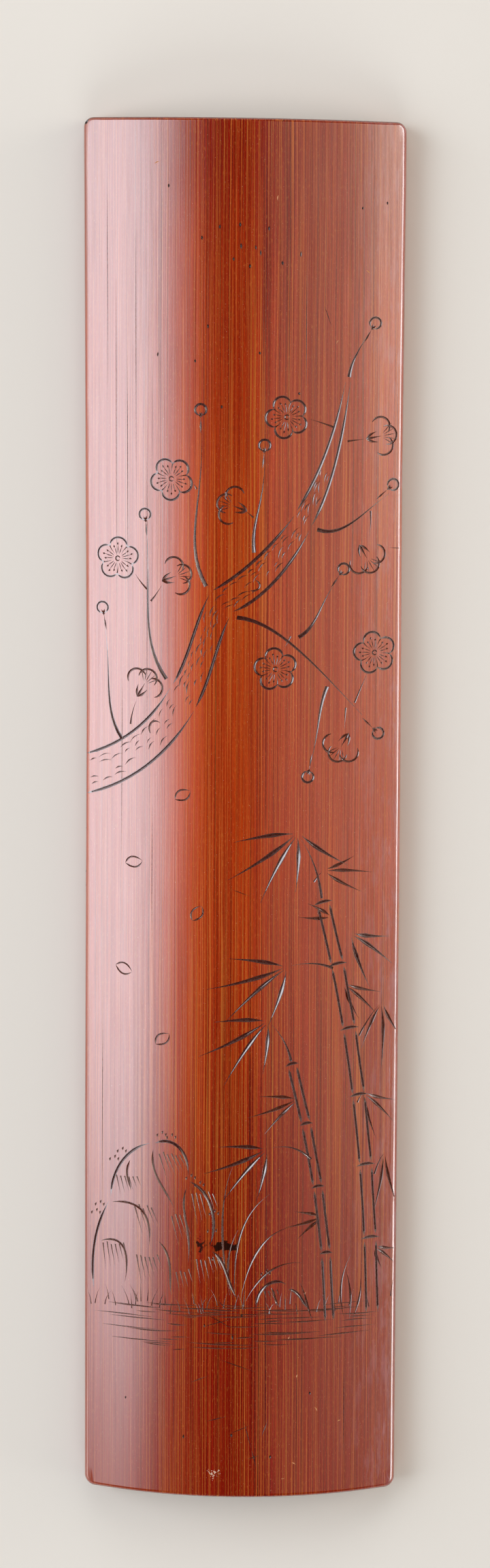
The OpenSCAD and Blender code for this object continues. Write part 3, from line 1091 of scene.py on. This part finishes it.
def skin(tree, space):
    colour = handled(tree, space, fibre_tints(tree, space))
    grain = streaks(tree, space, (0.26, 120, 0.4), (0.4, 0.6), 1, LAYER_SHIFT)
    roughness = add(tree, "MapRange", {"Value": grain, "To Min": 0.16, "To Max": 0.24})
    relief = add(tree, "Bump", {"Strength": 1, "Distance": 0.003 * MM, "Height": grain})
    rubbed = streaks(tree, space, (0.3, 12, 0.4), (0.35, 0.65), 0.34, 53)
    furrows = streaks(tree, space, *DARK_FIBRE, 0.3, LAYER_SHIFT)
    thinned = add(tree, "Math", {0: rubbed, 1: furrows})
    round_mm = add(tree, "SeparateXYZ", {0: space})[0]
    smooth_flank = add(tree, "MapRange", {"Value": round_mm, "From Min": -24, "From Max": -12, "To Min": 0.5})
    worn = add(tree, "Math", {0: thinned, 1: smooth_flank}, operation="MULTIPLY")
    wax = add(tree, "Math", {0: FULL_WAX, 1: worn}, operation="SUBTRACT")
    return {"Base Color": colour, "Roughness": roughness, "IOR": 1.6, "Normal": relief,
            "Coat Weight": wax, "Coat IOR": 1.7, "Coat Roughness": 0.06, "Coat Normal": relief}


dress(finishes[SKIN], skin)

# %% [markdown]
# Inside, the culm was scraped clean and left unpolished: paler, dry and nearly matt, with broad soft bundles
# and the scraper's furrows along them.

# %% Scraped inner wall
SCRAPED = (0.7, 90, 0.8)
inner_layers = [
    ((6, 120, 9), (0.35, 0.65), 0.6, "7A4420"),
    (SCRAPED, (0.4, 0.62), 0.6, "5C3014"),
    ((0.5, 60, 0.6), (0.56, 0.64), 0.5, "C08A54"),
    ((0.3, 3, 0.4), (0.62, 0.7), 0.5, "3C1E0C"),
]


def inner_wall(tree, space):
    colour = layered(tree, space, linear("9A6034"), inner_layers)
    furrow = streaks(tree, space, SCRAPED, (0.35, 0.65), 1, LAYER_SHIFT)
    relief = add(tree, "Bump", {"Strength": 1, "Distance": 0.03 * MM, "Height": furrow})
    roughness = add(tree, "MapRange", {"Value": furrow, "To Min": 0.5, "To Max": 0.68})
    return {"Base Color": colour, "Roughness": roughness, "Normal": relief}


dress(finishes[INNER_WALL], inner_wall)

# %% [markdown]
# The sawn ends cut every fibre bundle across. Each bundle is a dark dot in paler wood: large and sparse near
# the hollow, small and crowded near the skin. The ends were rubbed with the same wax, only less.

# %% Sawn end grain


def end_grain(tree, space):
    reach_mm = add(tree, "SeparateXYZ", {0: space})[2]
    limits = {"From Min": (culm_r - wall) / MM, "From Max": culm_r / MM}
    near_skin = add(tree, "MapRange", {"Value": reach_mm, **limits})
    wood = add(tree, "Mix", {"Factor": near_skin, "A": linear("A0562A"), "B": linear("6E2408")},
               data_type="RGBA")
    sparse = streaks(tree, space, (0.9, 60, 0.9), (0.56, 0.64), 0.8, 5)
    dense = streaks(tree, space, (0.42, 60, 0.42), (0.46, 0.56), 0.8, 29)
    dots = add(tree, "Mix", {"Factor": near_skin, "A": sparse, "B": dense})
    colour = add(tree, "Mix", {"Factor": dots, "A": wood, "B": linear("38120A")}, data_type="RGBA")
    relief = add(tree, "Bump", {"Strength": 1, "Distance": 0.02 * MM, "Height": dots})
    return {"Base Color": colour, "Roughness": 0.4, "IOR": 1.55, "Normal": relief,
            "Coat Weight": 0.5, "Coat Roughness": 0.2}


dress(finishes[END_GRAIN], end_grain)

# %% [markdown]
# Ink and wax were rubbed into the cuts. The walls are dark but shiny, so a wall that leans towards a lamp
# glints white, and dust in the wax makes the black uneven. Where the skin has only worn away, old fibre shows
# dark and matt, and in a fresh chip it is still pale.

# %% Ink and bare fibre


def ink_or_fibre(tree, space, base, dust, coat):
    colour = layered(tree, space, linear(base), [((0.5, 0.9, 0.5), (0.45, 0.7), 0.7, dust)])
    roughness = streaks(tree, space, (0.4, 0.8, 0.4), (0.2, 0.8), 0.6, 3)
    return {"Base Color": colour, "Roughness": roughness, "IOR": 1.6,
            "Coat Weight": coat, "Coat IOR": 1.85, "Coat Roughness": 0.08}


dress(finishes[CUT], ink_or_fibre, "52200F", "603424", 1)
dress(finishes[WORN], ink_or_fibre, "240E08", "48200F", 0)
dress(finishes[BARED], ink_or_fibre, "C88C5C", "A05C34", 0)
settled_ink = bpy.data.materials.new("settled_ink_and_wax")
dress(settled_ink, ink_or_fibre, "441810", "58362C", 1)
for ink in inks.values():
    ink.data.materials.append(settled_ink)

# %% [markdown]
# ## Onto the frame
# Smooth shading by angle keeps the face round and the rims of the cuts sharp. Nothing on this object moves,
# so every piece rides on the root, and each takes the place of its CAD node.

# %% Shading and places
SHARP = math.radians(28)
for piece in pieces:
    make_active(piece)
    bpy.ops.object.shade_smooth_by_angle(angle=SHARP)
    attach(piece, "root")
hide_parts("culm_slip")
for motif, ink in inks.items():
    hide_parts(f"{motif}_ink")
for piece in pieces:
    piece.data.calc_loop_triangles()
    print(piece.name, len(piece.data.loop_triangles), "triangles")

# %% [markdown]
# ## The studio
# The floor is a disc of pale paper. It fades out towards its rim, so that from every side it passes into the
# pale room without a line, and close to the slip it catches the shadow.

# %% Floor
PALE = "DEDAD2"
FLOOR_R = 1.2
FLOOR_Z = -0.05 * MM
FADE_FROM = 0.25
FADE_TO = 0.95 * FLOOR_R
deselect_all()
bpy.ops.mesh.primitive_circle_add(vertices=96, radius=FLOOR_R, fill_type="NGON", location=(0, 0, FLOOR_Z))
bpy.ops.object.transform_apply(location=True)
floor = bpy.context.object
floor.name = "floor"
pale_paper = bpy.data.materials.new("pale_paper")
paper = bare_tree(pale_paper)
from_slip = add(paper, "VectorMath", {0: add(paper, "TexCoord", {})["Object"]}, operation="LENGTH")
fade = add(paper, "MapRange", {"Value": from_slip, "From Min": FADE_FROM, "From Max": FADE_TO},
           interpolation_type="SMOOTHSTEP")
paper_shader = add(paper, "BsdfPrincipled", {"Base Color": linear(PALE), "Roughness": 0.9})
faded = add(paper, "MixShader", {"Fac": fade, 1: paper_shader, 2: add(paper, "BsdfTransparent", {})})
add(paper, "OutputMaterial", {"Surface": faded})
floor.data.materials.append(pale_paper)
print(f"floor of {2 * FLOOR_R} m")

# %% [markdown]
# The slip is a curved mirror, so where a light stands decides where its reflection lies: a face that leans by
# some angle shows what stands at twice that angle. A large softbox at the left gives the broad pale sheen. It
# dims towards the crown, and towards the foot it dims and narrows, because the sheen does. Two warm panels at
# the right give a faint sheen, and two low strips draw a bright line along the edges. Nothing bright hangs
# overhead, and so the crown keeps the deep colour of the wood. Two fills beyond head and foot light the wood
# evenly and stay out of the reflections. Every panel leans from overhead to one side and to the head.

# %% Lights
LIGHT_DISTANCE = 2
NARROWING = (0.34, 0.1)
WARM = "FFEEDC"
COOL = "F4F7FF"


def area_light(name, lean, along, size, radiance, colour="FFFFFF",
               fade_across=(-1, 0), fade_along=(-1, 0), turn=0, narrowed=0):
    light = bpy.data.lights.new(name, "AREA")
    light.shape = "RECTANGLE"
    light.size, light.size_y = size
    light.energy = radiance * math.pi * size[0] * size[1]
    tree = bare_tree(light)
    strength = 1
    x, y, _ = add(tree, "SeparateXYZ", {0: add(tree, "NewGeometry", {})["Parametric"]})
    limits = {"From Min": NARROWING[0], "From Max": NARROWING[1], "To Max": narrowed}
    x = add(tree, "Math", {0: x, 1: add(tree, "MapRange", {"Value": y, **limits})})
    for side, (dim, bright) in ((x, fade_across), (y, fade_along)):
        limits = {"From Min": dim, "From Max": bright, "To Max": strength}
        strength = add(tree, "MapRange", {"Value": side, **limits}, interpolation_type="SMOOTHSTEP")
    add(tree, "OutputLight", {0: add(tree, "Emission", {"Color": linear(colour), "Strength": strength})})
    lamp = new_object(name, light)
    lamp.rotation_euler = [math.radians(angle) for angle in (-lean[1], lean[0], turn)]
    lamp.location = lamp.rotation_euler.to_matrix() @ Vector((0, 0, LIGHT_DISTANCE)) + Vector((0, along, 0))
    lamp.visible_camera = False
    return lamp


area_light("left_softbox", (-45, 0), 0, (2.3, 2.2), 4.75, COOL,
           fade_across=(0.93, 0.47), fade_along=(-0.03, 0.31), turn=-5, narrowed=0.18)
area_light("left_rim_strip", (-86, 0), 0.1, (0.4, 2), 2.6)
area_light("right_reflector", (41, 0), 0.2, (2.7, 2), 1.5, WARM, (-0.5, 1), (-0.6, 0.9))
area_light("right_upper_panel", (60, 0), 0.3, (1, 1), 1.7, WARM, (0, 0.5), (0, 0.5))
area_light("right_rim_strip", (81, 0), 0.1, (0.5, 2), 7)
for name, lean in (("head_fill", 55), ("foot_fill", -55)):
    area_light(name, (0, lean), 0, (1.6, 1.2), 2).visible_glossy = False

# %% [markdown]
# The room is pale below and all round, where a camera looks, and dark overhead. So the background has one
# tone from every side, and the crown has nothing bright above it to mirror.

# %% World
OVERHEAD = "181818"
HORIZON = 0.05
DARK_FROM = 0.4
world = bpy.data.worlds.new("studio")
sky = bare_tree(world)
height = add(sky, "SeparateXYZ", {0: add(sky, "TexCoord", {})["Generated"]})[2]
dusk = add(sky, "MapRange", {"Value": height, "From Min": HORIZON, "From Max": DARK_FROM},
           interpolation_type="SMOOTHSTEP")
room = add(sky, "Mix", {"Factor": dusk, "A": linear(PALE), "B": linear(OVERHEAD)}, data_type="RGBA")
add(sky, "OutputWorld", {"Surface": add(sky, "Background", {"Color": room, "Strength": 1})})
bpy.context.scene.world = world
bpy.context.scene.view_settings.view_transform = "Standard"
print("nodes in the world:", len(sky.nodes))
